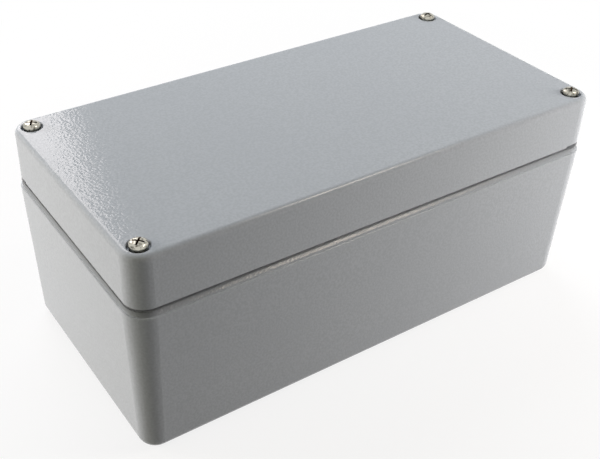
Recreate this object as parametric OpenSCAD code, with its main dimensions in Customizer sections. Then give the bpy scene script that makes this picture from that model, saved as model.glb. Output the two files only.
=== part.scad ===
// Die-cast aluminium box: a drafted base and lid with a tongue and gasket seal,
// captive lid screws in the corners and mounting screws in the floor bosses.
// Millimetres, +Z up, origin at the centre of the underside, length along X.

/* [Box] */
// Length of the lid at its lower edge
lid_l = 220; // [170:1:320]
// Width of the lid at its lower edge
lid_w = 108.6; // [96:0.2:200]
// Height of the base up to its rim
base_h = 70.6; // [45:0.2:120]
// Height of the lid casting
lid_h = 22.4; // [20:0.2:45]
// Gap between rim and lid with the seal pressed
seam = 0.4; // [0.2:0.1:0.8]
// How far the walls of the base, drawn up to its rim, stand out beyond the lid
rim_proud = 0.8; // [0.7:0.1:1.6]
// Height of the rim's upright band, which is flush with the lid
rim_band = 2.9; // [1:0.1:5]

/* [Casting] */
// Wall of the base
base_wall = 5; // [4.6:0.1:6]
// Floor of the base
floor_t = 4; // [3:0.1:8]
// Top plate of the lid
plate_t = 3.6; // [3:0.1:6]
// Draft of the base's walls, in degrees
base_draft = 1.6; // [0.5:0.1:2]
// Draft of the lid's walls, in degrees
lid_draft = 0.65; // [0.3:0.05:2]
// Radius of the lid's upright corners in plan
corner_r = 8.5; // [8:0.1:11]
// Round where the base's walls meet the underside
foot_round = 4.6; // [2:0.1:5]
// Round of the base's shoulder, at the foot of the rim's band
shoulder_round = 0.55; // [0.2:0.05:0.6]
// Round along the lid's top edge
top_round = 2.4; // [0.8:0.1:3.5]
// Round along the lid's lower edge and the rim's outer edge
lip_round = 0.5; // [0.2:0.1:0.6]
// Round inside, where the walls meet the floor or the plate
inner_round = 2; // [1:0.1:3]
// Round of the corner pillars' upright edges
pillar_round = 6; // [4.4:0.1:9]

/* [Seal] */
// Flat land between the mouth and the gasket groove
seal_land = 0.7; // [0.6:0.1:1.2]
// Width of the gasket groove in the lid
groove_w = 2.2; // [1.8:0.1:2.4]
// Depth of the gasket groove in the lid
groove_d = 3; // [2.2:0.1:5]
// Width of the tongue on the rim
tongue_w = 1.2; // [0.8:0.1:1.4]
// Height of the tongue above the rim
tongue_h = 1.4; // [1.1:0.1:1.8]
// Play of the gasket on each side of its groove
gasket_play = 0.1; // [0.05:0.05:0.2]
// Metal left between the gasket groove and the mounting wells
seal_web = 0.8; // [0.6:0.1:3]

/* [Lid screws] */
// Distance of the screws from the lid's short sides
screw_in_x = 7.3; // [7:0.1:10]
// Distance of the screws from the lid's long sides
screw_in_y = 7.8; // [7:0.1:10]
// Thread diameter of the lid screws
screw_d = 4; // [3:0.1:5]
// Length of the lid screws below the head
screw_l = 30; // [28:0.5:32]
// Length of the threaded end
thread_l = 9.6; // [8:0.1:10]
// Diameter of the neck between head and thread
neck_d = 2.9; // [2:0.1:3]
// Diameter of the head
head_d = 7; // [5.6:0.1:7.4]
// Height of the head
head_h = 2.7; // [2.2:0.1:4]
// Round of the head's upper edge
head_round = 1.3; // [0.4:0.1:1.6]
// Diameter of the recess that takes the head
sink_d = 8.4; // [7.8:0.1:9.4]
// Depth of the recess that takes the head
sink_h = 1.5; // [1:0.1:4]
// Bevel round the mouth of that recess
sink_bevel = 0.3; // [0.1:0.1:0.5]
// Diameter of the screw hole through the lid
hole_d = 4.6; // [4.2:0.1:5.6]
// Radial play of a thread in its tapped hole
thread_play = 0.05; // [0.02:0.01:0.1]
// Depth of the tapped hole below the rim
tap_h = 14; // [11:0.5:20]
// Outer diameter of the washer under the head
washer_d = 6.8; // [6.6:0.1:7.8]
// Thickness of the washer under the head
washer_t = 0.8; // [0.5:0.1:1.2]
// Outer diameter of the ring that keeps the screw in the lid
ring_d = 7.4; // [6:0.1:8.4]
// Thickness of the ring that keeps the screw in the lid
ring_t = 1.2; // [0.8:0.1:2]
// Rise of the thread before it meets the ring
screw_rise = 9.5; // [9.5:0.1:10]
// Radial play of washer and ring round the neck
neck_play = 0.3; // [0.3:0.05:0.4]
// Radial play of the ring in its seat
ring_play = 0.02; // [0.01:0.01:0.05]

/* [Cross recess] */
// Width across the wings of the cross recess
cross_w = 4.4; // [3:0.1:5]
// Thickness of a wing at the mouth
cross_t = 1; // [0.6:0.1:1.4]
// Depth of the cross recess
cross_h = 1.7; // [1:0.1:2]

/* [Wall mounting] */
// Distance from each lid screw to the mounting well beside it
well_pitch = 13.5; // [10:0.1:20]
// Diameter of the mounting well
well_d = 8.5; // [7:0.1:9]
// Height of the well's seat above the underside
well_seat = 8; // [5:0.5:20]
// Diameter of the mounting hole through the underside
mount_d = 4.6; // [4:0.1:6]
// Depth of the pocket in the lid above each well
pocket_h = 12; // [4:0.5:14]

/* [Floor bosses] */
// Distance between the plate bosses along the box
boss_x = 140; // [80:1:150]
// Distance between the plate bosses across the box
boss_y = 60; // [36:1:70]
// Distance between the two rail bosses on the centre line
rail_x = 160; // [90:1:190]
// Diameter of a boss at its top
boss_d = 9; // [8:0.1:12]
// Height of a boss above the floor
boss_h = 9; // [8.5:0.1:14]
// Diameter of the core hole in the rail bosses
rail_hole_d = 3.3; // [2.4:0.1:4.4]
// Depth of the holes in the bosses
boss_hole_h = 8; // [7.8:0.1:9]

/* [Mounting screws] */
// Thread diameter of the mounting screws
fix_d = 4; // [3:0.1:4.5]
// Length of the mounting screws below the head
fix_l = 8; // [5:0.1:8.4]
// Diameter of the mounting screw's head
fix_head_d = 7.2; // [6:0.1:8.5]
// Height of the mounting screw's head
fix_head_h = 2.8; // [2.2:0.1:3.6]
// Width of the screwdriver slot
fix_slot = 1.1; // [0.6:0.1:1.4]
// Outer diameter of the spring washer
spring_d = 7; // [6:0.1:8.4]
// Thickness of the spring washer
spring_t = 0.9; // [0.5:0.1:1.4]
// Width of the split in the spring washer
split_w = 0.6; // [0.3:0.1:1.2]
// Radial play of the spring washer round the screw
spring_play = 0.15; // [0.05:0.05:0.4]

/* [Prise notches] */
// Reach of a prise notch from the corner along each side
notch_reach = 12; // [8:0.5:14]
// Height of a prise notch
notch_h = 1; // [0.5:0.1:2]
// Depth of a prise notch behind the lid's face
notch_in = 3; // [2:0.1:3.5]

/* [Hidden] */
$fn = 96;
SIDES = ["front_left", "front_right", "back_left", "back_right"];
// How far each lid screw's cross is turned once the screws are tight
lid_turns = [45, 40, 59, 10];

coat = "#b2b7ba";
rubber = "#2b2b2c";
steel = "#c9c9c4";
nylon = "#29292b";
copper = "#b5683c";

// Overlap that lets one cut pass right through a face
cut = 1;
// Excess of a rounding circle, so that it always meets the faces that it rounds
meet = 0.0005;
// The corner centres in plan are shared by base and lid, whatever the height
centre_x = lid_l / 2 - corner_r;
centre_y = lid_w / 2 - corner_r;
lid_z = base_h + seam;
top_z = lid_z + lid_h;
rim_r = corner_r + rim_proud;
shoulder_z = base_h - rim_band;
mouth_r = rim_r - base_wall;
lid_wall = base_wall - rim_proud;

screw_x = lid_l / 2 - screw_in_x;
screw_y = lid_w / 2 - screw_in_y;
well_x = screw_x - well_pitch;
well_y = screw_y;
seat_z = top_z - sink_h;
head_z = seat_z + washer_t;
tip_z = head_z - screw_l;
ring_z = tip_z + thread_l + screw_rise;

// The pillars' inner faces at the rim leave room for the seal beside the wells
seal_out = seal_land + groove_w;
pillar_x = well_x - well_d / 2 - seal_web - seal_out;
pillar_y = well_y - well_d / 2 - seal_web - seal_out;
tongue_in = seal_land + (groove_w - tongue_w) / 2;
gasket_z = base_h + tongue_h;

boss_top = floor_t + boss_h;
fix_z = boss_top + spring_t;

// Radius of the base's outer corner at height z
function base_r(z) = rim_r - (base_h - z) * tan(base_draft);
// Radius of the lid's outer corner at height z
function lid_r(z) = corner_r - (z - lid_z) * tan(lid_draft);
function unit(v) = v / norm(v);

// What a round of radius r takes off the corner p between the directions u and v
module corner_trim(p, u, v, r) {
    half = acos(u * v) / 2;
    c = p + unit(u + v) * r / sin(half);
    t = r / tan(half);
    difference() {
        polygon([p - (u + v) * cut, p + u * t - v * cut, p + u * t, c, p + v * t, p + v * t - u * cut]);
        translate(c) circle(r + meet);
    }
}

// Upright section from the corner centre out to a face that leans from r_low to r_high
module section(z_low, r_low, z_high, r_high, round_low = 0, round_high = 0) {
    up = unit([r_high - r_low, z_high - z_low]);
    difference() {
        polygon([[0, z_low], [r_low, z_low], [r_high, z_high], [0, z_high]]);
        if (round_low > 0) corner_trim([r_low, z_low], [-1, 0], up, round_low);
        if (round_high > 0) corner_trim([r_high, z_high], [-1, 0], -up, round_high);
    }
}

// Carries an upright section round a rectangle whose corner centres are at (cx, cy)
module block(cx, cy, z_low, z_high) {
    for (sx = [0, 1], sy = [0, 1])
        mirror([sx, 0, 0]) mirror([0, sy, 0]) translate([cx, cy, 0]) rotate_extrude(angle = 90) children();
    for (sx = [0, 1])
        mirror([sx, 0, 0]) translate([cx, cy, 0]) rotate([90, 0, 0]) linear_extrude(2 * cy) children();
    for (sy = [0, 1])
        mirror([0, sy, 0]) translate([-cx, cy, 0]) rotate([90, 0, 90]) linear_extrude(2 * cx) children();
    translate([-cx, -cy, z_low]) cube([2 * cx, 2 * cy, z_high - z_low]);
}

// Puts its children in each quarter of the plan
module each_quarter() {
    for (sx = [0, 1], sy = [0, 1]) mirror([sx, 0, 0]) mirror([0, sy, 0]) children();
}

// Hollow with pillars in its corners: two crossing blocks, and the same section turned
// inside out round each pillar's upright edge
module hollow(z_low, r_low, z_high, r_high, round_low, round_high) {
    for (long = [true, false])
        block(
            long ? centre_x : pillar_x - mouth_r,
            long ? pillar_y - mouth_r : centre_y,
            z_low, z_high
        )
            section(z_low, r_low, z_high, r_high, round_low, round_high);
    each_quarter()
        translate([pillar_x + pillar_round, pillar_y + pillar_round, 0])
            rotate([0, 0, 180])
                rotate_extrude(angle = 90)
                    translate([pillar_round + mouth_r, 0])
                        mirror([1, 0])
                            section(z_low, r_low, z_high, r_high, round_low, round_high);
}

// Rectangle of half lengths (hx, hy) with its corners rounded
module rounded_plate(hx, hy, r) {
    difference() {
        square([2 * hx, 2 * hy], center = true);
        each_quarter() corner_trim([hx, hy], [-1, 0], [0, -1], r);
    }
}

// Outline of the mouth of the box, grown outwards towards the outer face
module mouth(grow) {
    r = mouth_r + grow;
    rounded_plate(centre_x + r, pillar_y + grow, r);
    rounded_plate(pillar_x + grow, centre_y + r, r);
    each_quarter()
        translate([pillar_x + pillar_round, pillar_y + pillar_round])
            difference() {
                reach = pillar_round - grow + cut;
                translate([-reach, -reach]) square(reach);
                circle(pillar_round - grow + meet);
            }
}

// Band that follows the mouth, from inner to outer distance
module seal_band(inner, outer, z, h) {
    translate([0, 0, z])
        linear_extrude(h)
            difference() {
                mouth(outer);
                mouth(inner);
            }
}

// Floor boss with a little draft
module boss(x, y) {
    flare = boss_h * tan(base_draft);
    translate([x, y, floor_t - cut])
        cylinder(h = boss_h + cut, d1 = boss_d + 2 * flare, d2 = boss_d);
}

module base() {
    color(coat) {
        difference() {
            union() {
                difference() {
                    union() {
                        block(centre_x, centre_y, 0, shoulder_z)
                            section(
                                0, base_r(0), shoulder_z, base_r(shoulder_z),
                                foot_round, shoulder_round
                            );
                        block(centre_x, centre_y, shoulder_z - cut, base_h)
                            section(shoulder_z - cut, corner_r, base_h, corner_r, 0, lip_round);
                    }
                    hollow(
                        floor_t, base_r(floor_t) - base_wall,
                        base_h + cut, base_r(base_h + cut) - base_wall,
                        inner_round, 0
                    );
                }
                seal_band(tongue_in, tongue_in + tongue_w, base_h - cut, tongue_h + cut);
                each_quarter() boss(boss_x / 2, boss_y / 2);
                for (side = [-1, 1]) boss(side * rail_x / 2, 0);
            }
            each_quarter() {
                translate([screw_x, screw_y, base_h - tap_h])
                    cylinder(h = tap_h + cut, d = screw_d + 2 * thread_play);
                translate([well_x, well_y, well_seat])
                    cylinder(h = base_h - well_seat + cut, d = well_d);
                translate([well_x, well_y, -cut])
                    cylinder(h = well_seat + 2 * cut, d = mount_d);
                translate([boss_x / 2, boss_y / 2, boss_top - boss_hole_h])
                    cylinder(h = boss_hole_h + cut, d = fix_d + 2 * thread_play);
            }
            for (side = [-1, 1])
                translate([side * rail_x / 2, 0, boss_top - boss_hole_h])
                    cylinder(h = boss_hole_h + cut, d = rail_hole_d);
        }
    }
}

// Slot round one corner of the lid's lower edge, for the blade that prises it off
module prise_notch() {
    translate([lid_l / 2, lid_w / 2, lid_z - cut])
        difference() {
            translate([-notch_reach, -notch_reach, 0])
                cube([notch_reach + cut, notch_reach + cut, notch_h + cut]);
            translate([-notch_reach - cut, -notch_reach - cut, -cut])
                cube([notch_reach + cut - notch_in, notch_reach + cut - notch_in, notch_h + 3 * cut]);
        }
}

module lid() {
    color(coat)
        difference() {
            block(centre_x, centre_y, lid_z, top_z)
                section(lid_z, corner_r, top_z, lid_r(top_z), lip_round, top_round);
            hollow(
                lid_z - cut, lid_r(lid_z - cut) - lid_wall,
                top_z - plate_t, lid_r(top_z - plate_t) - lid_wall,
                0, inner_round
            );
            seal_band(seal_land, seal_out, lid_z - cut, groove_d + cut);
            each_quarter() {
                translate([screw_x, screw_y, seat_z]) cylinder(h = sink_h + cut, d = sink_d);
                translate([screw_x, screw_y, top_z - sink_bevel])
                    cylinder(h = sink_bevel + cut, d1 = sink_d, d2 = sink_d + 2 * (sink_bevel + cut));
                translate([screw_x, screw_y, lid_z]) cylinder(h = lid_h, d = hole_d);
                translate([screw_x, screw_y, lid_z - cut])
                    cylinder(h = ring_z + ring_t - lid_z + cut, d = ring_d);
                translate([well_x, well_y, lid_z - cut]) cylinder(h = pocket_h + cut, d = well_d);
            }
            mirror([0, 1, 0]) prise_notch();
            mirror([1, 0, 0]) prise_notch();
        }
}

// The gasket lies in the top of the groove and the tongue presses on its underside
module gasket() {
    color(rubber)
        seal_band(
            seal_land + gasket_play, seal_out - gasket_play,
            gasket_z, lid_z + groove_d - gasket_z
        );
}

// Screw head with its upper edge rounded, standing on z = 0
module head(d, h, round_r) {
    rotate_extrude() section(0, d / 2, h, d / 2, 0, round_r);
}

// Tapered cross recess that opens at z = 0
module cross_recess() {
    intersection() {
        union() {
            for (turn = [0, 90])
                rotate([0, 0, turn])
                    translate([-cross_w / 2, -cross_t / 2, -cross_h]) cube([cross_w, cross_t, cross_h + cut]);
        }
        translate([0, 0, -cross_h])
            cylinder(h = cross_h + cut, d1 = cross_t, d2 = cross_w + (cross_w - cross_t) * cut / cross_h);
    }
}

module lid_screw(turn) {
    color(steel)
        translate([0, 0, head_z])
            difference() {
                union() {
                    head(head_d, head_h, head_round);
                    translate([0, 0, -screw_l]) cylinder(h = screw_l + cut, d = neck_d);
                    translate([0, 0, -screw_l])
                        rotate_extrude()
                            polygon([
                                [0, 0], [neck_d / 2, 0], [screw_d / 2, (screw_d - neck_d) / 2],
                                [screw_d / 2, thread_l - (screw_d - neck_d) / 2],
                                [neck_d / 2, thread_l], [0, thread_l]
                            ]);
                }
                translate([0, 0, head_h]) rotate([0, 0, turn]) cross_recess();
            }
}

module screw_washer() {
    color(nylon)
        translate([0, 0, seat_z])
            difference() {
                cylinder(h = washer_t, d = washer_d);
                translate([0, 0, -cut]) cylinder(h = washer_t + 2 * cut, d = neck_d + 2 * neck_play);
            }
}

module retaining_ring() {
    color(nylon)
        translate([0, 0, ring_z])
            difference() {
                cylinder(h = ring_t, d = ring_d - 2 * ring_play);
                translate([0, 0, -cut]) cylinder(h = ring_t + 2 * cut, d = neck_d + 2 * neck_play);
            }
}

module mounting_screw(turn) {
    color(copper)
        translate([0, 0, fix_z])
            difference() {
                union() {
                    head(fix_head_d, fix_head_h, head_round);
                    translate([0, 0, -fix_l]) cylinder(h = fix_l + cut, d = fix_d);
                }
                translate([0, 0, fix_head_h])
                    rotate([0, 0, turn]) {
                        cross_recess();
                        translate([-fix_head_d / 2 - cut, -fix_slot / 2, -fix_slot])
                            cube([fix_head_d + 2 * cut, fix_slot, fix_slot + cut]);
                    }
            }
}

// Flattened spring washer with its slanting split
module spring_washer(turn) {
    color(copper)
        translate([0, 0, boss_top])
            rotate([0, 0, turn])
                difference() {
                    cylinder(h = spring_t, d = spring_d);
                    translate([0, 0, -cut])
                        cylinder(h = spring_t + 2 * cut, d = fix_d + 2 * spring_play);
                    translate([spring_d / 2, 0, spring_t / 2])
                        rotate([30, 0, 0])
                            cube([spring_d, split_w, 4 * spring_t], center = true);
                }
}

// Places its children in the corner that side names, as the lid screws stand
module at_corner(side, x, y) {
    translate([
        (side == "front_left" || side == "back_left" ? -1 : 1) * x,
        (side == "front_left" || side == "front_right" ? -1 : 1) * y,
        0
    ])
        children();
}

base();
lid();
gasket();
for (i = [0:3]) {
    side = SIDES[i];
    at_corner(side, screw_x, screw_y) lid_screw(lid_turns[i]);
    at_corner(side, screw_x, screw_y) screw_washer();
    at_corner(side, screw_x, screw_y) retaining_ring();
    at_corner(side, boss_x / 2, boss_y / 2) mounting_screw(15 + 50 * i);
    at_corner(side, boss_x / 2, boss_y / 2) spring_washer(40 + 70 * i);
}
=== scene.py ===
"""Looks of a die cast aluminium box: powder coated castings, plated screws, seal and studio.

The castings keep their CAD meshes and are dressed in a textured powder coat. Every screw,
washer, ring and the seal is a surface computed here, with threads, recesses and soft edges.
Sizes are in millimetres until a mesh is written, which is in metres.
"""

import logging
import math
from dataclasses import dataclass, field
from enum import Enum
from typing import Any, Sequence

import bmesh
import bpy
import numpy as np
from mathutils import Matrix, Vector


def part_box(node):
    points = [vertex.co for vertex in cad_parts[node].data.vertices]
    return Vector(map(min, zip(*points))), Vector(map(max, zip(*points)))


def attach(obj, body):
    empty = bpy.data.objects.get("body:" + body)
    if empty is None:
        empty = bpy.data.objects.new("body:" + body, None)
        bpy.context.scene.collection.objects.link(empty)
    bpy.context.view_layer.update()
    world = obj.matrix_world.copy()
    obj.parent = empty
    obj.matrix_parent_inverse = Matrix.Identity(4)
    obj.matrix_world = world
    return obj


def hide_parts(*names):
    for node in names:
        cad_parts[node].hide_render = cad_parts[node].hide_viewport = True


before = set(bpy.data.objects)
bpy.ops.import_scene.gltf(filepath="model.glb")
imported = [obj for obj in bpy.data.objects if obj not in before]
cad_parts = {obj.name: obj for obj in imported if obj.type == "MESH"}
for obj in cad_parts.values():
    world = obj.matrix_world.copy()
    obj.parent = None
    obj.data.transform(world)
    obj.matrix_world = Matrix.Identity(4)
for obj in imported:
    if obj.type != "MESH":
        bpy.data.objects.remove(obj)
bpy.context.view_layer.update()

MM = 0.001
FULL_TURN = 2 * math.pi
WELD = 2e-7
SHARP_ANGLE = math.radians(38)
PLASTIC_IOR = 1.5
WHITE = (1.0, 1.0, 1.0, 1.0)
SIDES = ("front_left", "front_right", "back_left", "back_right")
LOG = logging.getLogger("die_cast_box")

Socket = bpy.types.NodeSocket
Node = bpy.types.Node
Tree = bpy.types.NodeTree
Array = np.ndarray


# ---------------------------------------------------------------- colour and nodes


def linear(hex_colour: str) -> tuple[float, float, float, float]:
    """Turns an sRGB hex colour into linear light.

    Args:
        hex_colour: Colour as "#rrggbb".

    Returns:
        Linear red, green and blue, and an alpha of 1.
    """
    values = [int(hex_colour[i:i + 2], 16) / 255 for i in (1, 3, 5)]
    red, green, blue = (v / 12.92 if v <= 0.04045 else ((v + 0.055) / 1.055) ** 2.4 for v in values)
    return red, green, blue, 1.0


def per_metre(size: float) -> float:
    """The scale at which one cell of a noise measures size in millimetres."""
    return 1 / (size * MM)


def add_node(
    tree: Tree, kind: str, inputs: dict[Any, Any] | Sequence[Any] = (), **settings: Any
) -> Node:
    """Adds one node, sets it up and links what feeds it.

    Args:
        tree: Node tree to add to.
        kind: The node's type, as it follows "ShaderNode".
        inputs: What feeds its sockets, by name or number or in their order. Each is a value,
            a socket, or a node, which gives its first output in use.
        **settings: Attributes of the node.

    Returns:
        The new node.
    """
    node = tree.nodes.new("ShaderNode" + kind)
    for name, value in settings.items():
        setattr(node, name, value)
    for key, value in inputs.items() if isinstance(inputs, dict) else enumerate(inputs):
        if isinstance(value, Node):
            value = next(output for output in value.outputs if output.enabled)
        if isinstance(value, Socket):
            tree.links.new(value, node.inputs[key])
        else:
            node.inputs[key].default_value = value
    return node


def start_material(name: str) -> tuple[bpy.types.Material, Tree, Socket]:
    """Makes a material with nothing but its position input and its output.

    Args:
        name: The material's name.

    Returns:
        The material, its node tree and the position on the piece in metres.
    """
    material = bpy.data.materials.new(name)
    material.use_nodes = True
    tree = material.node_tree
    tree.nodes.clear()
    return material, tree, add_node(tree, "TexCoord").outputs["Object"]


def lay_colours(
    tree: Tree, ground: str, layers: Sequence[tuple[Node | Socket, Sequence[float], str]]
) -> Node:
    """Lays colours over a ground, each where its pattern is strong.

    A noise lies mostly between 0.3 and 0.7, so that is where its levels are taken.

    Args:
        tree: Node tree.
        ground: Hex colour under all.
        layers: For each layer its pattern, the pattern's two levels with the layer's share
            at each of them, and its hex colour.

    Returns:
        The node that gives the colour.
    """
    tone: Any = linear(ground)
    for pattern, levels, colour in layers:
        share = add_node(tree, "MapRange", (pattern, *levels))
        tone = add_node(tree, "Mix", {0: share, 6: tone, 7: linear(colour)}, data_type="RGBA")
    return tone


# ---------------------------------------------------------------- finishes


class Bare(Enum):
    """Round holes of the base that are tapped after coating: centre, radius and top in mm."""

    LID_SCREW = (102.7, 46.5, 2.12, 70.58)
    PLATE_BOSS = (70.0, 30.0, 2.12, 12.98)
    RAIL_BOSS = (80.0, 0.0, 1.72, 12.98)


@dataclass(frozen=True)
class PowderCoat:
    """Textured polyester powder, sprayed on the casting and stoved.

    The powder melts into a fine orange peel. It gives the eye a satin light grey with a soft
    broken sheen: the peel scatters each lamp into small bright grains.

    Attributes:
        shaded_hollows: Colour between the grains of the peel, painted darker as shade.
        lit_crests: Colour on the grains, painted lighter as highlight.
        clouded: Colour of the broad, faint clouds.
        joint_shade: Painted shade in the joint of base and lid.
        metal: Colour of the tapped holes, which are cut through the coat.
        peel: Width of a grain of the peel.
        fine_peel: Width of the finer grain on it, and fine_share its height.
        cloud: Width of a cloud.
        smudge: Width of a patch of uneven gloss.
        bump: Height of the peel.
        joint: Heights between which the joint gets painted shade, which fades over joint_fade.
        rim: Heights between which the coat leans back from the joint.
        rim_lean: How far it leans back in all, by rim_power of the height's share.
        rim_uneven: How far the peel shifts that height.
        thread_pitch: Pitch of the ridges in the tapped holes, and thread_depth their height.
    """

    name: str = "textured_powder_coat"
    colour: str = "#afb6bc"
    shaded_hollows: str = "#a6adb3"
    lit_crests: str = "#b7bec4"
    clouded: str = "#aab1b8"
    joint_shade: str = "#888b8f"
    metal: str = "#c9cbcc"
    peel: float = 0.95
    fine_peel: float = 0.3
    fine_share: float = 0.06
    cloud: float = 55.0
    smudge: float = 22.0
    roughness: float = 0.055
    bump: float = 0.055
    joint: tuple[float, float] = (70.55, 71.2)
    joint_fade: float = 0.35
    rim: tuple[float, float] = (67.7, 70.5)
    rim_lean: float = 4.3
    rim_power: float = 1.3
    rim_uneven: float = 0.065
    thread_pitch: float = 0.7
    thread_depth: float = 0.12

    def bare_mask(self, tree: Tree, where: Socket, height: Socket) -> Node:
        """Is 1 inside the tapped holes: nearer in plan than the hole's radius to one of its
        mirrored axes, and below the hole's top.

        Args:
            tree: The material's node tree.
            where: Position on the casting.
            height: Height above the foot of the box.

        Returns:
            The mask.
        """
        folded = add_node(tree, "VectorMath", (where,), operation="ABSOLUTE")
        plan = add_node(tree, "VectorMath", (folded, (1, 1, 0)), operation="MULTIPLY")
        mask: Any = 0.0
        for hole in Bare:
            x, y, radius, top = (value * MM for value in hole.value)
            away = add_node(tree, "VectorMath", (plan, (x, y, 0)), operation="DISTANCE")
            near = add_node(tree, "Math", (away, radius), operation="LESS_THAN")
            low = add_node(tree, "Math", (height, top), operation="LESS_THAN")
            inside = add_node(tree, "Math", (near, low), operation="MULTIPLY")
            mask = add_node(tree, "Math", (mask, inside), operation="MAXIMUM")
        return mask

    def joint_shade_mask(self, tree: Tree, height: Socket, uneven: Node) -> Node:
        """Is up to 0.95 between the joint's two heights and fades outside them.

        Args:
            tree: The material's node tree.
            height: Height above the foot of the box.
            uneven: Pattern that makes the painted shade uneven.

        Returns:
            The mask.
        """
        low, high, fade = (value * MM for value in (*self.joint, self.joint_fade))
        rise = add_node(tree, "MapRange", (height, low - fade, low, 0, 1))
        fall = add_node(tree, "MapRange", (height, high, high + fade, 1, 0))
        band = add_node(tree, "Math", (rise, fall), operation="MULTIPLY")
        thin = add_node(tree, "MapRange", (uneven, 0.3, 0.6, 0.6, 0.95))
        return add_node(tree, "Math", (band, thin), operation="MULTIPLY")

    def rim_roll(self, tree: Tree, height: Socket, peel: Node) -> Node:
        """Falls from 1 at the rim's foot to 0 at its mouth, as 1 minus a power of the height's
        share. The peel shifts the height, so the sheen there has an uneven edge.

        Args:
            tree: The material's node tree.
            height: Height above the foot of the box.
            peel: The coat's orange peel, from 0 to 1.

        Returns:
            The relief of the rim's band.
        """
        low, high, uneven = (value * MM for value in (*self.rim, self.rim_uneven))
        shift = add_node(tree, "MapRange", (peel, 0.2, 0.8, -uneven, uneven))
        shifted = add_node(tree, "Math", (height, shift), operation="ADD")
        share = add_node(tree, "MapRange", (shifted, low, high, 0, 1))
        fallen = add_node(tree, "Math", (share, self.rim_power), operation="POWER")
        return add_node(tree, "Math", (1.0, fallen), operation="SUBTRACT")

    def bare_metal(self, tree: Tree, height: Socket, fine: Node) -> Node:
        """Machined aluminium, ridged as a sine of the height: bright rings down the holes.

        Args:
            tree: The material's node tree.
            height: Height above the foot of the box.
            fine: Pattern of its uneven gloss.

        Returns:
            The metal's shader.
        """
        turns = FULL_TURN / (self.thread_pitch * MM)
        phase = add_node(tree, "Math", (height, turns), operation="MULTIPLY")
        ridge = add_node(tree, "Math", (phase,), operation="SINE")
        return add_node(tree, "BsdfPrincipled", {
            "Base Color": linear(self.metal), "Metallic": 1.0,
            "Roughness": add_node(tree, "MapRange", (fine, 0.3, 0.7, 0.22, 0.36)),
            "Normal": add_node(tree, "Bump", {"Height": ridge, "Distance": self.thread_depth * MM}),
        })

    def make(self) -> bpy.types.Material:
        """Builds the material.

        Returns:
            The powder coat, with bright machined metal in the tapped holes.
        """
        material, tree, where = start_material(self.name)
        height = add_node(tree, "SeparateXYZ", (where,)).outputs["Z"]
        peel, fine, cloud, smudge = (
            add_node(tree, "TexNoise", {
                "Vector": where, "Scale": per_metre(size), "Detail": detail, "Roughness": share,
            })
            for size, detail, share in (
                (self.peel, 1.0, 0.3), (self.fine_peel, 2.0, 0.55),
                (self.cloud, 2.0, 0.5), (self.smudge, 3.0, 0.6),
            )
        )
        # the peel's crests are painted lighter and its hollows darker: painted light and shade on
        # the grains
        tone = lay_colours(tree, self.shaded_hollows, (
            (peel, (0.35, 0.65, 0, 1), self.lit_crests),
            (fine, (0.3, 0.7, 0.3, 0.7), self.colour),
            (cloud, (0.35, 0.65, 0, 0.3), self.clouded),
            # painted shade in the gap between lid and base
            (self.joint_shade_mask(tree, height, smudge), (0, 1, 0, 1), self.joint_shade),
        ))
        worn = add_node(
            tree, "MapRange", (smudge, 0.35, 0.7, self.roughness - 0.01, self.roughness + 0.02)
        )
        gritty = add_node(tree, "MapRange", (fine, 0.3, 0.7, 0.01, -0.01))
        fine_relief = add_node(tree, "Math", (fine, self.fine_share), operation="MULTIPLY")
        relief = add_node(tree, "Math", (peel, fine_relief), operation="ADD")
        peeled = add_node(tree, "Bump", {"Height": relief, "Distance": self.bump * MM})
        coat = add_node(tree, "BsdfPrincipled", {
            "Base Color": tone, "IOR": PLASTIC_IOR,
            "Roughness": add_node(tree, "Math", (worn, gritty), operation="ADD"),
            "Normal": add_node(tree, "Bump", {
                "Height": self.rim_roll(tree, height, peel), "Distance": self.rim_lean * MM,
                "Normal": peeled,
            }),
        })
        surface = add_node(tree, "MixShader", (
            self.bare_mask(tree, where, height), coat, self.bare_metal(tree, height, fine),
        ))
        add_node(tree, "OutputMaterial", {"Surface": surface})
        return material


@dataclass(frozen=True)
class PlatedSteel:
    """Cold headed steel with a thin plated skin.

    The barrel plating follows the forging, so it gives the eye a bright warm metal whose
    highlight is broken by small pits and rubbing marks.

    Attributes:
        shade: Colour of the dark clouded patches, a painted dark reflection.
        recess: Colour deep in the cross recess, painted shade laid by the recess attribute.
        pit: Width of a pit, and bump its depth. Real pits are about 0.1 mm wide, which is too
            fine to show, so they are drawn coarser.
        cloud: Width of a dull patch.
    """

    name: str = "nickel_plated_steel"
    colour: str = "#c0bdb1"
    shade: str = "#4c4840"
    recess: str = "#4a3a2a"
    roughness: float = 0.16
    pit: float = 0.5
    cloud: float = 1.3
    bump: float = 0.05

    def make(self) -> bpy.types.Material:
        """Builds the material. The recess attribute darkens what lies inside the recess.

        Returns:
            The plated steel.
        """
        material, tree, where = start_material(self.name)
        pits, cloud = (
            add_node(tree, "TexNoise", {
                "Vector": where, "Scale": per_metre(size), "Detail": detail, "Roughness": 0.6,
            })
            for size, detail in ((self.pit, 2.0), (self.cloud, 3.0))
        )
        # the recess attribute lays painted shade in the cross recess, deepest at its floor
        depth = add_node(tree, "Attribute", attribute_name="recess").outputs["Fac"]
        # clouds of the shade colour are a painted dark reflection on the metal
        tone = lay_colours(tree, self.colour, (
            (cloud, (0.46, 0.62, 0, 0.9), self.shade), (depth, (0, 1, 0, 1), self.recess),
        ))
        rubbed = add_node(
            tree, "MapRange", (cloud, 0.35, 0.7, self.roughness - 0.05, self.roughness + 0.1)
        )
        dulled = add_node(tree, "Math", (depth, 0.25), operation="MULTIPLY")
        metal = add_node(tree, "BsdfPrincipled", {
            "Base Color": tone, "Metallic": 1.0,
            "Roughness": add_node(tree, "Math", (rubbed, dulled), operation="ADD"),
            "Normal": add_node(tree, "Bump", {"Height": pits, "Distance": self.bump * MM}),
        })
        add_node(tree, "OutputMaterial", {"Surface": metal})
        return material


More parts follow.
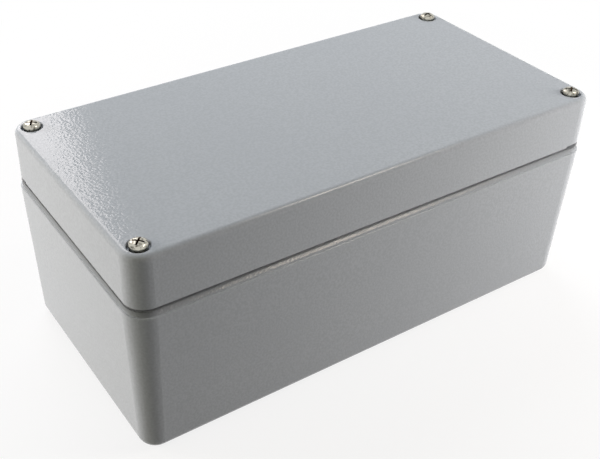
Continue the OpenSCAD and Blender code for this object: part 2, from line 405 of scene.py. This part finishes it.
@dataclass(frozen=True)
class SoftMoulding:
    """Rubber or nylon, injected into a spark eroded mould.

    It gives the eye a dark dull skin with faint mottling, dry on rubber and waxy on nylon.

    Attributes:
        bloom: Colour of the pale mottling.
        grit: Width of the mould's grain, and bump its height. The real grain is about 0.05 mm
            wide, which is too fine to show, so it is drawn coarser.
        cloud: Width of a mottled patch.
    """

    name: str
    colour: str
    bloom: str
    roughness: float
    grit: float = 0.25
    cloud: float = 6.0
    bump: float = 0.01

    def make(self) -> bpy.types.Material:
        """Builds the material from a mottled colour, uneven gloss and a fine mould grain.

        Returns:
            The rubber or nylon.
        """
        material, tree, where = start_material(self.name)
        grit, cloud = (
            add_node(tree, "TexNoise", {
                "Vector": where, "Scale": per_metre(size), "Detail": detail, "Roughness": share,
            })
            for size, detail, share in ((self.grit, 2.0, 0.5), (self.cloud, 4.0, 0.6))
        )
        tone = lay_colours(tree, self.colour, ((cloud, (0.4, 0.75, 0, 0.8), self.bloom),))
        skin = add_node(tree, "BsdfPrincipled", {
            "Base Color": tone,
            "Roughness": add_node(
                tree, "MapRange", (cloud, 0.35, 0.7, self.roughness - 0.06, self.roughness + 0.08)
            ),
            "IOR": PLASTIC_IOR,
            "Normal": add_node(tree, "Bump", {"Height": grit, "Distance": self.bump * MM}),
        })
        add_node(tree, "OutputMaterial", {"Surface": skin})
        return material


# ---------------------------------------------------------------- surfaces


class Skin:
    """One piece's surface, gathered from grids of points in millimetres."""

    def __init__(self, name: str) -> None:
        """Starts an empty surface.

        Args:
            name: The piece's name.
        """
        self.name = name
        self.points: list[Array] = []
        self.faces: list[Array] = []
        self.depths: list[Array] = []
        self.count = 0

    def grid(self, points: Array, depth: Array | float = 0.0) -> None:
        """Adds the quads between neighbouring points of a grid.

        Args:
            points: Array of rows, columns and xyz. Rows and columns that close on themselves
                repeat their first points, and the weld joins them.
            depth: The recess attribute, 0 to 1, for each point or for all.
        """
        rows, columns = points.shape[:2]
        index = np.arange(rows * columns).reshape(rows, columns) + self.count
        quads = np.stack([index[:-1, :-1], index[:-1, 1:], index[1:, 1:], index[1:, :-1]], axis=-1)
        self.points.append(points.reshape(-1, 3))
        self.faces.append(quads.reshape(-1, 4))
        self.depths.append(np.broadcast_to(depth, (rows, columns)).reshape(-1).astype(float))
        self.count += rows * columns

    def build(
        self, material: bpy.types.Material, body: str, *nodes: str, slot: str
    ) -> bpy.types.Object:
        """Writes the mesh, welds it and turns its faces outwards.

        Args:
            material: The piece's finish.
            body: CAD body that it rides on.
            *nodes: CAD nodes that it stands for.
            slot: The record's material slot; not used.

        Returns:
            The finished object, at the origin.
        """
        mesh = bpy.data.meshes.new(self.name)
        mesh.from_pydata(
            (np.concatenate(self.points) * MM).tolist(), [], np.concatenate(self.faces).tolist()
        )
        mesh.attributes.new("recess", "FLOAT", "POINT").data.foreach_set(
            "value", np.concatenate(self.depths)
        )
        work = bmesh.new()
        work.from_mesh(mesh)
        bmesh.ops.remove_doubles(work, verts=work.verts, dist=WELD)
        bmesh.ops.dissolve_degenerate(work, edges=work.edges, dist=WELD)
        bmesh.ops.recalc_face_normals(work, faces=work.faces)
        open_edges = sum(not edge.is_manifold for edge in work.edges)
        work.to_mesh(mesh)
        work.free()
        mesh.polygons.foreach_set("use_smooth", np.ones(len(mesh.polygons), bool))
        mesh.set_sharp_from_angle(angle=SHARP_ANGLE)
        mesh.materials.append(material)
        piece = bpy.data.objects.new(self.name, mesh)
        bpy.context.scene.collection.objects.link(piece)
        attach(piece, body)
        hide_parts(*nodes)
        LOG.info("%s: %d faces, %d open edges", self.name, len(mesh.polygons), open_edges)
        return piece


def soften(corners: Sequence[tuple[float, float]], radii: Sequence[float], steps: int = 6) -> Array:
    """Rounds the corners of an open profile.

    Each corner is replaced by the arc of its radius that touches both of its sides: the arc's
    centre lies on the corner's bisector, and its ends are radius / tan(half the corner's angle)
    along the sides.

    Args:
        corners: Points (r, z) of the profile.
        radii: Radius at each point, 0 for a sharp one. The first and last are ends.
        steps: Points along each arc, less one.

    Returns:
        Array of points (r, z).
    """
    path = np.asarray(corners, float)
    out = [path[:1]]
    for before, at, after, radius in zip(path[:-2], path[1:-1], path[2:], radii[1:-1]):
        if radius <= 0:
            out.append(at[None])
            continue
        back = (before - at) / np.linalg.norm(before - at)
        ahead = (after - at) / np.linalg.norm(after - at)
        half = math.acos(float(np.clip(back @ ahead, -1, 1))) / 2
        middle = (back + ahead) / np.linalg.norm(back + ahead)
        centre = at + middle * radius / math.sin(half)
        foot = radius / math.tan(half)
        first, last = at + back * foot - centre, at + ahead * foot - centre
        sweep = math.atan2(first[0] * last[1] - first[1] * last[0], float(first @ last))
        turn = np.linspace(0, sweep, steps + 1)[:, None]
        out.append(centre + first * np.cos(turn) + np.array([-first[1], first[0]]) * np.sin(turn))
    out.append(path[-1:])
    return np.concatenate(out)


def revolve(profile: Array, centre: tuple[float, float], angles: Array) -> Array:
    """Carries a profile round an upright axis: x = cx + r cos a, y = cy + r sin a, z = z.

    Args:
        profile: Points (r, z).
        centre: Place of the axis in plan.
        angles: Angles of the columns, the last one a full turn after the first.

    Returns:
        Grid of points.
    """
    radius, height = profile[:, :1], profile[:, 1:]
    return np.stack([
        centre[0] + radius * np.cos(angles), centre[1] + radius * np.sin(angles),
        np.broadcast_to(height, (len(profile), len(angles))),
    ], axis=-1)


def full_turn(columns: int) -> Array:
    """Even angles of one full turn, both ends included."""
    return np.linspace(0, FULL_TURN, columns + 1)


# ---------------------------------------------------------------- fasteners

# The recess attribute at a recess's floor, on its wall, on a slot's wall and at its lip.
# It sets how much painted shade and dullness the plated steel gets there.
FLOOR, WALL, SLOT, LIP = 1.0, 0.8, 0.6, 0.25


def washer_section(
    outer: float, bore: float, bottom: float, top: float, edge: float, steps: int
) -> Array:
    """Closed profile of a washer: an oblong with its four corners rounded.

    Args:
        outer: Outer radius.
        bore: Radius of the hole.
        bottom: Height of the underside.
        top: Height of the top.
        edge: Radius of the corners.
        steps: Points along each corner, less one.

    Returns:
        Array of points (r, z), from the middle of the outside and back to it.
    """
    middle = (bottom + top) / 2
    return soften(
        [(outer, middle), (outer, top), (bore, top), (bore, bottom), (outer, bottom),
         (outer, middle)], (0, edge, edge, edge, edge, 0), steps,
    )


@dataclass
class PanScrew:
    """A pan head machine screw with a cross recess, and a slot right across it if asked.

    Heights are measured from the underside of the head, and lengths down from it.

    Attributes:
        head_d: Diameter of the head, head_h its height and side_h that of its side.
        fullness: Power of the dome's superellipse.
        seat_w: Width of the flat under the head, and edge the radius at both its ends.
        neck_d: Diameter of the plain neck, neck_l its length and neck_taper its lead-in.
        thread_d: Diameter over the thread, and pitch its pitch.
        thread_share: Depth of the thread, as a share of its pitch.
        tooth: Height of the tooth at even steps of a pitch, from 0 at the root to 1.
        length: Length under the head.
        tip_h: Height of the tip's cone, and tip_taper how far it narrows.
        cross_w: Width of the cross recess, cross_t its bars' thickness and cross_h its depth.
        floor_share: Width and thickness of its floor, as shares of those at its mouth.
        floor_sinks: How far the floor sinks at its middle and part way to it, at sink_share.
        slot_w: Width of the slot, or 0 for none, and slot_h its depth.
        step_share: Width and thickness of the recess where it meets the slot's floor.
        lip: Width of the flat round the recess's mouth.
        dome_rows: Rows over the dome, and dome_crowd the power that crowds them at its rim.
        columns: Columns round the screw before the recess's corners are added.
    """

    head_d: float = 7.0
    head_h: float = 2.7
    side_h: float = 0.85
    fullness: float = 2.5
    seat_w: float = 0.8
    edge: float = 0.2
    neck_d: float = 2.9
    neck_l: float = 20.4
    neck_taper: float = 0.25
    thread_d: float = 4.0
    pitch: float = 0.7
    thread_share: float = 0.61
    tooth: tuple[float, ...] = (0.0, 0.0, 0.5, 1.0, 1.0, 0.5)
    length: float = 30.0
    tip_h: float = 0.45
    tip_taper: float = 0.35
    cross_w: float = 4.5
    cross_t: float = 0.82
    cross_h: float = 1.75
    floor_share: tuple[float, float] = (0.45, 0.7)
    floor_sinks: tuple[float, float] = (0.25, 0.12)
    sink_share: float = 0.6
    slot_w: float = 0.0
    slot_h: float = 1.1
    step_share: tuple[float, float] = (0.8, 0.9)
    lip: float = 0.05
    dome_rows: int = 14
    dome_crowd: float = 0.9
    columns: int = 96

    def dome(self, radius: Array) -> Array:
        """Height of the head's top over its seat: a superellipse that falls from the middle
        to the side, side_h + (head_h - side_h) * (1 - (r / R) ^ n) ^ (1 / n)."""
        inside = np.clip(1 - (radius / (self.head_d / 2)) ** self.fullness, 0, 1)
        return self.side_h + (self.head_h - self.side_h) * inside ** (1 / self.fullness)

    @staticmethod
    def wing(angle: Array, half_l: float, half_t: float) -> Array:
        """Distance from the middle to the edge of a bar 2 half_l long and 2 half_t thick."""
        along, across = np.abs(np.cos(angle)), np.abs(np.sin(angle))
        return np.minimum(half_l / np.maximum(along, 1e-9), half_t / np.maximum(across, 1e-9))

    def cross(self, angle: Array, wide: float = 1.0, thick: float = 1.0) -> Array:
        """Outline of the cross in polar form, scaled: the larger of its two bars at each angle."""
        half_l, half_t = self.cross_w * wide / 2, self.cross_t * thick / 2
        return np.maximum(
            self.wing(angle, half_l, half_t), self.wing(angle + math.pi / 2, half_l, half_t)
        )

    def slot_exit(self) -> float:
        """Radius at which the slot's floor comes out through the dome."""
        share = (self.head_h - self.slot_h - self.side_h) / (self.head_h - self.side_h)
        return self.head_d / 2 * (1 - share ** self.fullness) ** (1 / self.fullness)

    def root(self) -> float:
        """Radius of the thread's root."""
        return self.thread_d / 2 - self.thread_share * self.pitch

    def angles(self) -> Array:
        """Angles of the columns: even ones, and that of every corner of the recess.

        Returns:
            The angles in order, the last one a full turn after the first.
        """
        wide, thick = self.floor_share
        tips = [
            math.atan2(self.cross_t, self.cross_w),
            math.atan2(self.cross_t * thick, self.cross_w * wide),
        ]
        if self.slot_w:
            tips += [
                math.asin(self.slot_w / 2 / self.slot_exit()), math.atan2(self.slot_w, self.cross_t)
            ]
        even = np.linspace(0, FULL_TURN, self.columns, endpoint=False)
        corners = np.add.outer(np.arange(8) * math.pi / 4, [0.0, *tips, *(-tip for tip in tips)])
        stops = np.mod(np.concatenate([even, corners.ravel()]), FULL_TURN)
        once = np.unique(np.round(stops, 6))
        return np.append(once, once[0] + FULL_TURN)

    def head_rows(self, angle: Array) -> tuple[Array, Array, Array]:
        """Rows from the bottom of the recess, up its walls and over the dome to the seat.

        Every row is a distance from the axis and a height at each angle. The recess tapers
        between scaled copies of its outline, and the dome's rows go evenly from the outline
        to the head's rim.

        Args:
            angle: Angles of the columns.

        Returns:
            Distances, heights and recess depths, as rows by columns.
        """
        level = np.zeros_like(angle)
        mouth = self.cross(angle)
        floor = self.cross(angle, *self.floor_share)
        floor_h = self.head_h - self.cross_h
        middle_sink, ring_sink = self.floor_sinks
        rows = [
            (level, floor_h - middle_sink + level, FLOOR),
            (floor * self.sink_share, floor_h - ring_sink + level, FLOOR),
            (floor, floor_h + level, FLOOR),
        ]
        if self.slot_w:
            wall, lip_drop = 0.985, 0.06
            slot_floor = self.head_h - self.slot_h
            cut = np.minimum(self.wing(angle, self.head_d, self.slot_w / 2), self.slot_exit())
            mouth = np.maximum(mouth, cut)
            rows += [
                (self.cross(angle, *self.step_share), slot_floor + level, WALL),
                (mouth * wall, np.minimum(slot_floor, self.dome(mouth * wall)), SLOT),
            ]
        else:
            wall, wall_drop, lip_drop = 0.99, 0.1, 0.03
            rows += [
                (floor + (mouth - floor) * 0.5, self.head_h - self.cross_h * 0.5 + level, FLOOR),
                (mouth * wall, self.dome(mouth) - wall_drop, WALL),
            ]
        rows.append((mouth, self.dome(mouth) - lip_drop, LIP))
        rim = self.head_d / 2
        for share in np.sin(np.linspace(0, math.pi / 2, self.dome_rows)) ** self.dome_crowd:
            radius = np.minimum(mouth + self.lip, rim) * (1 - share) + rim * share
            rows.append((radius, self.dome(radius), 0.0))
        under = soften([(rim, self.side_h), (rim, 0), (rim - self.seat_w, 0)], (0, self.edge, 0))
        rows += [(radius + level, height + level, 0.0) for radius, height in under]
        distance, height, depth = zip(*rows)
        return np.stack(distance), np.stack(height), np.array(depth)[:, None] + level

    def thread_rows(self, angle: Array, top: float, bottom: float) -> tuple[Array, Array]:
        """Rows of a right-hand thread between two heights.

        Row j stands at top - pitch * (j / m) + pitch * angle / (2 pi), kept between top and
        bottom, so each row climbs one pitch a turn and meets the row m above it. Its radius
        is the root's plus the tooth's height there, and the tooth runs out at both ends.

        Args:
            angle: Angles of the columns, from one angle to a full turn later.
            top: Upper end of the thread.
            bottom: Lower end of the thread.

        Returns:
            Distances and heights, as rows by columns.
        """
        tooth = np.array(self.tooth)
        steps = len(tooth)
        rows = np.arange(int((top - bottom) / self.pitch + 2) * steps)[:, None]
        turned = (angle - angle[0]) / FULL_TURN
        free = top - self.pitch * rows / steps + self.pitch * turned
        height = np.clip(free, bottom, top)
        run_out = np.clip(np.minimum(top - height, height - bottom) / self.pitch, 0, 1)
        root = self.root()
        return root + (self.thread_d / 2 - root) * tooth[rows % steps] * run_out, height

    def build(
        self, node: str, turn: float, material: bpy.types.Material, body: str, slot: str
    ) -> bpy.types.Object:
        """Builds the screw: its rows of distances and heights, carried round its axis.

        Args:
            node: CAD node that it stands for, which gives its axis and the top of its head.
            turn: Angle of its recess in degrees.
            material: Its finish.
            body: CAD body that it rides on.
            slot: The record's material slot.

        Returns:
            The screw.
        """
        low, high = (np.array(corner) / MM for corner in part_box(node))
        middle = (low + high) / 2
        angle = self.angles()
        ones = np.ones_like(angle)
        distance, height, depth = self.head_rows(angle)
        root, neck = self.root(), self.neck_d / 2
        neck_end, tip_top, end = -self.neck_l, self.tip_h - self.length, -self.length
        shank = soften(
            [(self.head_d / 2 - self.seat_w, 0), (neck, 0), (neck, neck_end + self.neck_taper),
             (root, neck_end)], (0, self.edge, 0, 0), 4,
        )
        thread, climb = self.thread_rows(angle, neck_end, tip_top)
        tip = np.array([(root, tip_top), (root - self.tip_taper, end), (0, end)])
        distance = np.concatenate([distance, shank[:, :1] * ones, thread, tip[:, :1] * ones])
        height = np.concatenate([height, shank[:, 1:] * ones, climb, tip[:, 1:] * ones])
        depth = np.concatenate([depth, np.zeros((len(distance) - len(depth), len(angle)))])
        turned = angle + math.radians(turn)
        skin = Skin(f"{node}_screw")
        skin.grid(np.stack([
            middle[0] + distance * np.cos(turned), middle[1] + distance * np.sin(turned),
            high[2] - self.head_h + height,
        ], axis=-1), depth)
        return skin.build(material, body, node, slot=slot)


@dataclass
class CaptiveScrews:
    """The four lid screws, each with the washer under its head and the ring that keeps it.

    Attributes:
        turns: Angle of each screw's recess in degrees, in the order of SIDES.
        screw: The screw.
        play: Gap between its neck and the bore of the washer or ring.
        edge: Radius of their corners.
        columns: Columns round them.
    """

    turns: tuple[float, ...] = (45, 40, 59, 10)
    screw: PanScrew = field(default_factory=PanScrew)
    play: float = 0.3
    edge: float = 0.15
    columns: int = 72

    def ring(self, node: str, body: str, material: bpy.types.Material) -> None:
        """Builds a washer or ring: its section carried round the screw's axis.

        Args:
            node: CAD node that gives its place and outside.
            body: CAD body that it rides on.
            material: Its finish.
        """
        low, high = (np.array(corner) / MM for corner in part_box(node))
        centre = ((low[0] + high[0]) / 2, (low[1] + high[1]) / 2)
        bore = self.screw.neck_d / 2 + self.play
        profile = washer_section((high[0] - low[0]) / 2, bore, low[2], high[2], self.edge, 4)
        skin = Skin(f"{node}_disc")
        skin.grid(revolve(profile, centre, full_turn(self.columns)))
        skin.build(material, body, node, slot="nylon")

    def build(self, steel: bpy.types.Material, nylon: bpy.types.Material) -> None:
        """Builds all four sets where the CAD has them.

        Args:
            steel: Finish of the screws.
            nylon: Finish of the washers and rings.
        """
        for side, turn in zip(SIDES, self.turns):
            self.screw.build(
                f"lid_screw_{side}", turn, steel, f"screw_{side}", "stainless_steel"
            )
            self.ring(f"screw_washer_{side}", f"washer_{side}", nylon)
            self.ring(f"retaining_ring_{side}", "lid", nylon)


@dataclass
class MountingScrews:
    """The four screws in the plate bosses, each on a split spring washer.

    Attributes:
        screw: The screw.
        turns: Angle of each screw's recess in degrees, in the order of SIDES.
        split_turns: Angle of each washer's split in degrees.
        split: Width of the split.
        lean: Angle of its two faces to the axis in degrees.
        bore: Radius of the washer's hole.
        edge: Radius of its corners.
        columns: Columns round it.
    """

    screw: PanScrew = field(default_factory=lambda: PanScrew(
        head_d=7.2, head_h=2.8, side_h=0.9, neck_d=3.2, neck_l=0.7, length=8.0, slot_w=1.1,
        cross_h=1.9,
    ))
    turns: tuple[float, ...] = (15, 65, 115, 165)
    split_turns: tuple[float, ...] = (40, 110, 180, 250)
    split: float = 0.6
    lean: float = 30.0
    bore: float = 2.15
    edge: float = 0.12
    columns: int = 72

    def spring_washer(self, node: str, turn: float, material: bpy.types.Material) -> None:
        """Builds a split washer: its section carried round the axis, with closed ends.

        The two ends lean by the same angle, so a point's angle along the ring goes evenly
        from one leaning face to the other: a = end(z) + share * (full turn - gap).

        Args:
            node: CAD node that gives its place and outside.
            turn: Angle of the split in degrees.
            material: Its finish.
        """
        low, high = (np.array(corner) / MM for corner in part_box(node))
        middle = (low + high) / 2
        outer = (high[1] - low[1]) / 2
        middle_r = (outer + self.bore) / 2
        section = washer_section(outer, self.bore, low[2], high[2], self.edge, 3)
        centre = section[:-1].mean(axis=0)
        share = np.concatenate([[0.0], np.linspace(0, 1, self.columns), [1.0]])
        scale = np.concatenate([[0.0], np.ones(self.columns), [0.0]])[:, None, None]
        ring = centre + (section - centre) * scale
        gap = self.split / middle_r
        tilt = (ring[..., 1] - middle[2]) * math.tan(math.radians(self.lean)) / middle_r
        angle = math.radians(turn) + gap / 2 + share[:, None] * (FULL_TURN - gap) - tilt
        skin = Skin(f"{node}_coil")
        skin.grid(np.stack([
            middle[0] + ring[..., 0] * np.cos(angle), middle[1] + ring[..., 0] * np.sin(angle),
            ring[..., 1],
        ], axis=-1))
        skin.build(material, "base", node, slot="copper_plate")

    def build(self, copper: bpy.types.Material) -> None:
        """Builds all four screws and washers where the CAD has them.

        Args:
            copper: Their finish.
        """
        for side, turn, split_turn in zip(SIDES, self.turns, self.split_turns):
            self.screw.build(f"mounting_screw_{side}", turn, copper, "base", "copper_plate")
            self.spring_washer(f"spring_washer_{side}", split_turn, copper)


# ---------------------------------------------------------------- seal


@dataclass
class Gasket:
    """The moulded seal in the lid's groove, which runs inside the corner pillars.

    Attributes:
        corner_x: Half the length of the mouth, and corner_y half its width.
        pillar_x: Where the long side turns in at a pillar, and pillar_y the short side.
        mouth_r: Radius of the mouth's outer corners, and pillar_r that round a pillar.
        land: Distance from the mouth to the seal.
        width: Width of the seal, and edge the radius of its edges.
        dent: How deep the tongue dents its underside.
        arc_steps: Points along each arc of the mouth, less one.
    """

    corner_x: float = 101.5
    corner_y: float = 45.8
    pillar_x: float = 81.25
    pillar_y: float = 38.55
    mouth_r: float = 4.3
    pillar_r: float = 6.0
    land: float = 0.8
    width: float = 2.0
    edge: float = 0.55
    dent: float = 0.12
    arc_steps: int = 14

    def mouth_path(self) -> tuple[Array, Array]:
        """The line of the mouth and its outward directions.

        In each quarter it runs out round the short side's corner, back along the pillar,
        inwards round the pillar's edge and out again round the long side's corner. The other
        quarters are mirrored, with their order reversed where the mirror turns it.

        Returns:
            Points and unit normals in plan, the first repeated at the end.
        """
        rise = np.linspace(0, math.pi / 2, self.arc_steps + 1)
        way = np.stack([np.cos(rise), np.sin(rise)], axis=-1)
        inner = np.stack([-np.sin(rise), -np.cos(rise)], axis=-1)
        arcs = [
            (np.array([self.corner_x, self.pillar_y - self.mouth_r]), way, self.mouth_r, 1.0),
            (np.array([self.pillar_x, self.pillar_y]) + self.pillar_r, inner, self.pillar_r, -1.0),
            (np.array([self.pillar_x - self.mouth_r, self.corner_y]), way, self.mouth_r, 1.0),
        ]
        points = np.concatenate([middle + spoke * radius for middle, spoke, radius, _ in arcs])
        normals = np.concatenate([spoke * sense for _, spoke, _, sense in arcs])
        whole, facing = [], []
        for sign_x, sign_y, order in ((1, 1, 1), (-1, 1, -1), (-1, -1, 1), (1, -1, -1)):
            mirror = np.array([sign_x, sign_y])
            whole.append((points * mirror)[::order])
            facing.append((normals * mirror)[::order])
        return np.concatenate(whole + [whole[0][:1]]), np.concatenate(facing + [facing[0][:1]])

    def build(self, rubber: bpy.types.Material) -> bpy.types.Object:
        """Carries the seal's section along the mouth, at its distance outwards from it.

        The section is a soft rectangle whose underside is dented by the tongue, a cosine
        hollow dent deep.

        Args:
            rubber: The seal's finish.

        Returns:
            The seal.
        """
        low, high = (np.array(corner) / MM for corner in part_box("gasket"))
        inside, outside, bottom, top = self.land, self.land + self.width, low[2], high[2]
        middle = (inside + outside) / 2
        across = np.linspace(inside + self.edge, outside - self.edge, 7)[1:-1]
        wave = np.cos((across - middle) / (self.width / 2 - self.edge) * math.pi)
        hollow = np.stack([across, bottom + self.dent * (0.5 + 0.5 * wave)], axis=-1)
        upper = soften(
            [(outside, bottom + self.edge), (outside, top), (inside, top),
             (inside, bottom + self.edge)], (0, self.edge, self.edge, 0),
        )
        down = np.linspace(0, math.pi / 2, 6)[1:]
        inwards, lift = self.edge * (1 - np.cos(down)), self.edge * (1 - np.sin(down))
        left = np.stack([inside + inwards, bottom + lift], axis=-1)
        right = np.stack([outside - inwards, bottom + lift], axis=-1)
        section = np.concatenate([upper, left, hollow, right[::-1], upper[:1]])
        points, normals = self.mouth_path()
        plan = points[:, None] + normals[:, None] * section[None, :, :1]
        heights = np.broadcast_to(section[None, :, 1:], plan.shape[:2] + (1,))
        skin = Skin("gasket_seal")
        skin.grid(np.concatenate([plan, heights], axis=-1))
        return skin.build(rubber, "lid", "gasket", slot="seal_rubber")


# ---------------------------------------------------------------- castings and studio


@dataclass
class Castings:
    """Base and lid: the CAD's own meshes in their coat."""

    nodes: tuple[str, ...] = ("base", "lid")

    def dress(self, coat: bpy.types.Material) -> None:
        """Puts the coat into each casting's material slots.

        Args:
            coat: The powder coat.
        """
        for name in self.nodes:
            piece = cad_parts[name]
            for material_slot in piece.material_slots:
                material_slot.material = coat
            LOG.info("%s: %d triangles dressed", name, len(piece.data.polygons))


@dataclass(frozen=True)
class Lamp:
    """A soft box: an oblong lamp that looks at the box's middle. Places and sizes are in metres.

    Attributes:
        power: Its power in watts.
        mirrored: Whether the box reflects it. A fill stays out of reflections.
    """

    name: str
    place: tuple[float, float, float]
    size: tuple[float, float]
    power: float
    colour: str
    mirrored: bool = True

    def build(self, target: Vector) -> bpy.types.Object:
        """Adds the lamp.

        Args:
            target: Point that it is turned to, in metres.

        Returns:
            The lamp.
        """
        light = bpy.data.lights.new(self.name, "AREA")
        light.shape, light.energy = "RECTANGLE", self.power
        light.size, light.size_y = self.size
        light.color = linear(self.colour)[:3]
        lamp = bpy.data.objects.new(self.name, light)
        lamp.location = self.place
        lamp.rotation_euler = (target - lamp.location).to_track_quat("-Z", "Y").to_euler()
        lamp.visible_glossy = self.mirrored
        bpy.context.scene.collection.objects.link(lamp)
        return lamp


def seen_directly(tree: Tree) -> Node:
    """Is 1 for camera, glossy and transmission rays, which see white surroundings.

    Args:
        tree: Node tree of the floor or of the world.

    Returns:
        The mask.
    """
    rays = add_node(tree, "LightPath").outputs
    mirror = add_node(
        tree, "Math", (rays["Is Glossy Ray"], rays["Is Transmission Ray"]), operation="MAXIMUM"
    )
    return add_node(tree, "Math", (rays["Is Camera Ray"], mirror), operation="MAXIMUM")


@dataclass(frozen=True)
class StudioPaper:
    """Matt white paper under the box, lit evenly, so that the eye sees the box's soft shadow
    fade into white.

    Attributes:
        shaded: Colour that throws light back at the box.
        colour: Colour where the camera and reflections see it lit by the lamps.
        fade: Distances from the middle, in metres, between which plain white takes over.
        white: Share of plain white that is mixed in right under the box.
    """

    name: str = "white_studio_floor"
    shaded: str = "#8a8a8a"
    colour: str = "#f2f2f2"
    fade: tuple[float, float] = (0.16, 0.36)
    white: float = 0.82

    def make(self) -> bpy.types.Material:
        """Builds the material.

        Returns:
            The paper.
        """
        material, tree, where = start_material(self.name)
        away = add_node(tree, "VectorMath", (where,), operation="LENGTH")
        fade = add_node(tree, "MapRange", (away, *self.fade, self.white, 1))
        direct = seen_directly(tree)
        surface = add_node(tree, "MixShader", (
            add_node(tree, "Math", (fade, direct), operation="MULTIPLY"),
            add_node(tree, "BsdfDiffuse", {
                "Color": lay_colours(tree, self.shaded, ((direct, (0, 1, 0, 1), self.colour),)),
            }),
            add_node(tree, "Emission", {"Color": WHITE, "Strength": 1.0}),
        ))
        add_node(tree, "OutputMaterial", {"Surface": surface})
        return material


@dataclass
class Studio:
    """Camera, soft boxes, white surroundings and the floor.

    Attributes:
        azimuth: Angle of the camera round the box in degrees, elevation its height and roll
            its turn about the line of sight.
        distance: Distance of the camera from the middle, in mm.
        aim: How far the camera stands off the line to the middle, to the right and up.
        middle: Point of the box that the camera and lamps are set up round.
        lens: Focal length, for a sensor of sensor mm, and shift the lens's shift.
        clip: Nearest and farthest distance that is seen, in metres.
        floor_size: Side of the floor in metres, floor_drop its distance below the feet and
            floor_rows its rows of points.
        ambient: Strength of the even light from all round.
    """

    azimuth: float = -33.598
    elevation: float = 36.145
    roll: float = 0.901
    distance: float = 419.455
    aim: tuple[float, float] = (-17.331, -14.997)
    middle: tuple[float, float, float] = (0.0, 0.0, 46.7)
    lens: float = 57.11
    sensor: float = 36.0
    shift: tuple[float, float] = (0.0538, 0.0124)
    clip: tuple[float, float] = (0.01, 50.0)
    floor_size: float = 8.0
    floor_drop: float = 0.0002
    floor_rows: int = 9
    paper: StudioPaper = StudioPaper()
    ambient: float = 0.035
    lamps: tuple[Lamp, ...] = (
        Lamp("back_box", (-0.01, 0.9, 0.65), (0.485, 0.7), 3.56, "#fff8f7"),
        Lamp("high_right_box", (0.47, -0.31, 0.84), (0.26, 0.22), 1.28, "#fff2e1"),
        Lamp("high_back_fill", (0.2, 0.7, 0.9), (0.6, 0.6), 5.38, "#edf5ff", False),
        Lamp("back_left_fill", (-0.6, 0.5, 0.2), (0.35, 0.3), 4.93, "#fff6f5", False),
        Lamp("left_fill", (-0.8, 0.1, 0.3), (0.4, 0.4), 1.47, "#fff5d3", False),
        Lamp("near_right_fill", (0.34, -0.21, 0.135), (0.2, 0.2), 1.58, "#fff7f2", False),
    )

    def camera(self) -> None:
        """Adds the camera, which looks along an azimuth and elevation from a distance."""
        turn, lift, roll = (math.radians(a) for a in (self.azimuth, self.elevation, self.roll))
        back = Vector((
            math.sin(turn) * math.cos(lift), -math.cos(turn) * math.cos(lift), math.sin(lift)
        ))
        level = Vector((math.cos(turn), math.sin(turn), 0))
        upright = back.cross(level)
        right = level * math.cos(roll) + upright * math.sin(roll)
        up = -level * math.sin(roll) + upright * math.cos(roll)
        place = Vector(self.middle) + right * self.aim[0] + up * self.aim[1] + back * self.distance
        data = bpy.data.cameras.new("camera")
        data.sensor_width, data.sensor_fit, data.lens = self.sensor, "HORIZONTAL", self.lens
        data.clip_start, data.clip_end = self.clip
        data.shift_x, data.shift_y = self.shift
        view = bpy.data.objects.new("camera", data)
        turned = Matrix((right, up, back)).transposed().to_4x4()
        view.matrix_world = Matrix.Translation(place * MM) @ turned
        bpy.context.scene.collection.objects.link(view)
        bpy.context.scene.camera = view

    def floor(self) -> None:
        """Adds the floor: an even grid of level quads under the box, facing up."""
        half, count = self.floor_size / 2, self.floor_rows
        steps = np.linspace(-half, half, count)
        x, y = np.meshgrid(steps, steps, indexing="ij")
        points = np.stack([x, y, np.full_like(x, -self.floor_drop)], axis=-1).reshape(-1, 3)
        index = np.arange(count * count).reshape(count, count)
        quads = np.stack([index[:-1, :-1], index[1:, :-1], index[1:, 1:], index[:-1, 1:]], -1)
        mesh = bpy.data.meshes.new("floor")
        mesh.from_pydata(points.tolist(), [], quads.reshape(-1, 4).tolist())
        mesh.materials.append(self.paper.make())
        ground = bpy.data.objects.new("floor", mesh)
        bpy.context.scene.collection.objects.link(ground)

    def surroundings(self) -> None:
        """White to the camera and in reflections, and a low even light on the object."""
        world = bpy.data.worlds.new("studio")
        world.use_nodes = True
        tree = world.node_tree
        tree.nodes.clear()
        strength = add_node(tree, "MapRange", (seen_directly(tree), 0, 1, self.ambient, 1))
        light = add_node(tree, "Background", {"Color": WHITE, "Strength": strength})
        add_node(tree, "OutputWorld", {"Surface": light})
        bpy.context.scene.world = world

    def build(self) -> None:
        """Sets up the whole studio."""
        target = Vector(self.middle) * MM
        for lamp in self.lamps:
            lamp.build(target)
        self.camera()
        self.floor()
        self.surroundings()
        bpy.context.scene.view_settings.view_transform = "Standard"


def main() -> None:
    """Builds the box's pieces and the studio in order."""
    logging.basicConfig(level=logging.INFO, format="%(name)s: %(message)s")
    coat = PowderCoat().make()
    nickel = PlatedSteel().make()
    # the copper's shade colour is a painted dark reflection
    copper = PlatedSteel(
        # its recess colour is painted shade in the cross recess
        name="copper_plated_steel", colour="#c8805a", shade="#9a5536", recess="#4b2a1c",
        roughness=0.24,
    ).make()
    nylon = SoftMoulding("black_nylon", "#1d1d1f", "#2c2c2e", 0.45).make()
    rubber = SoftMoulding("seal_rubber", "#17171a", "#29292b", 0.68).make()
    Castings().dress(coat)
    CaptiveScrews().build(nickel, nylon)
    MountingScrews().build(copper)
    Gasket().build(rubber)
    Studio().build()


if __name__ == "__main__":
    main()
